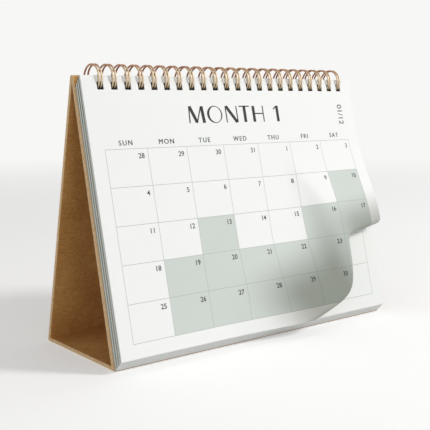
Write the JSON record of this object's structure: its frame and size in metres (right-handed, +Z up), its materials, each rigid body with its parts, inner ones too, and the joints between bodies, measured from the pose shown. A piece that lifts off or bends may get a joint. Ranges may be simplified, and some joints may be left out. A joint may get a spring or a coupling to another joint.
{
  "type": "desk calendar",
  "caption": "Standing flip calendar: printed leaves with a curled corner, bound by twin wire loops to a folded kraft board easel.",
  "frame": {"origin": "middle of the base panel's underside, on the table", "axes": "+X along the width, -Y towards the reader, +Z up"},
  "size_m": [0.2, 0.0867, 0.156],
  "materials": {
    "kraft_board": "matt",
    "kraft_card": "matt",
    "leaf_paper": "matt",
    "printed_paper": "matt",
    "copper_wire": "satin"
  },
  "bodies": {
    "stand": {"kraft_stand": "kraft_board", "backing_card": "kraft_card", "page_block": "leaf_paper", "twin_loop_wire": "copper_wire"},
    "leaf": {"front_leaf": "printed_paper"}
  },
  "joints": [
    {"name": "front_leaf_turn", "type": "hinge", "parent": "stand", "child": "leaf", "pos_m": [0, -0.00175, 0.1479], "axis": [-1, 0, 0], "range_deg": [0, 165]}
  ]
}
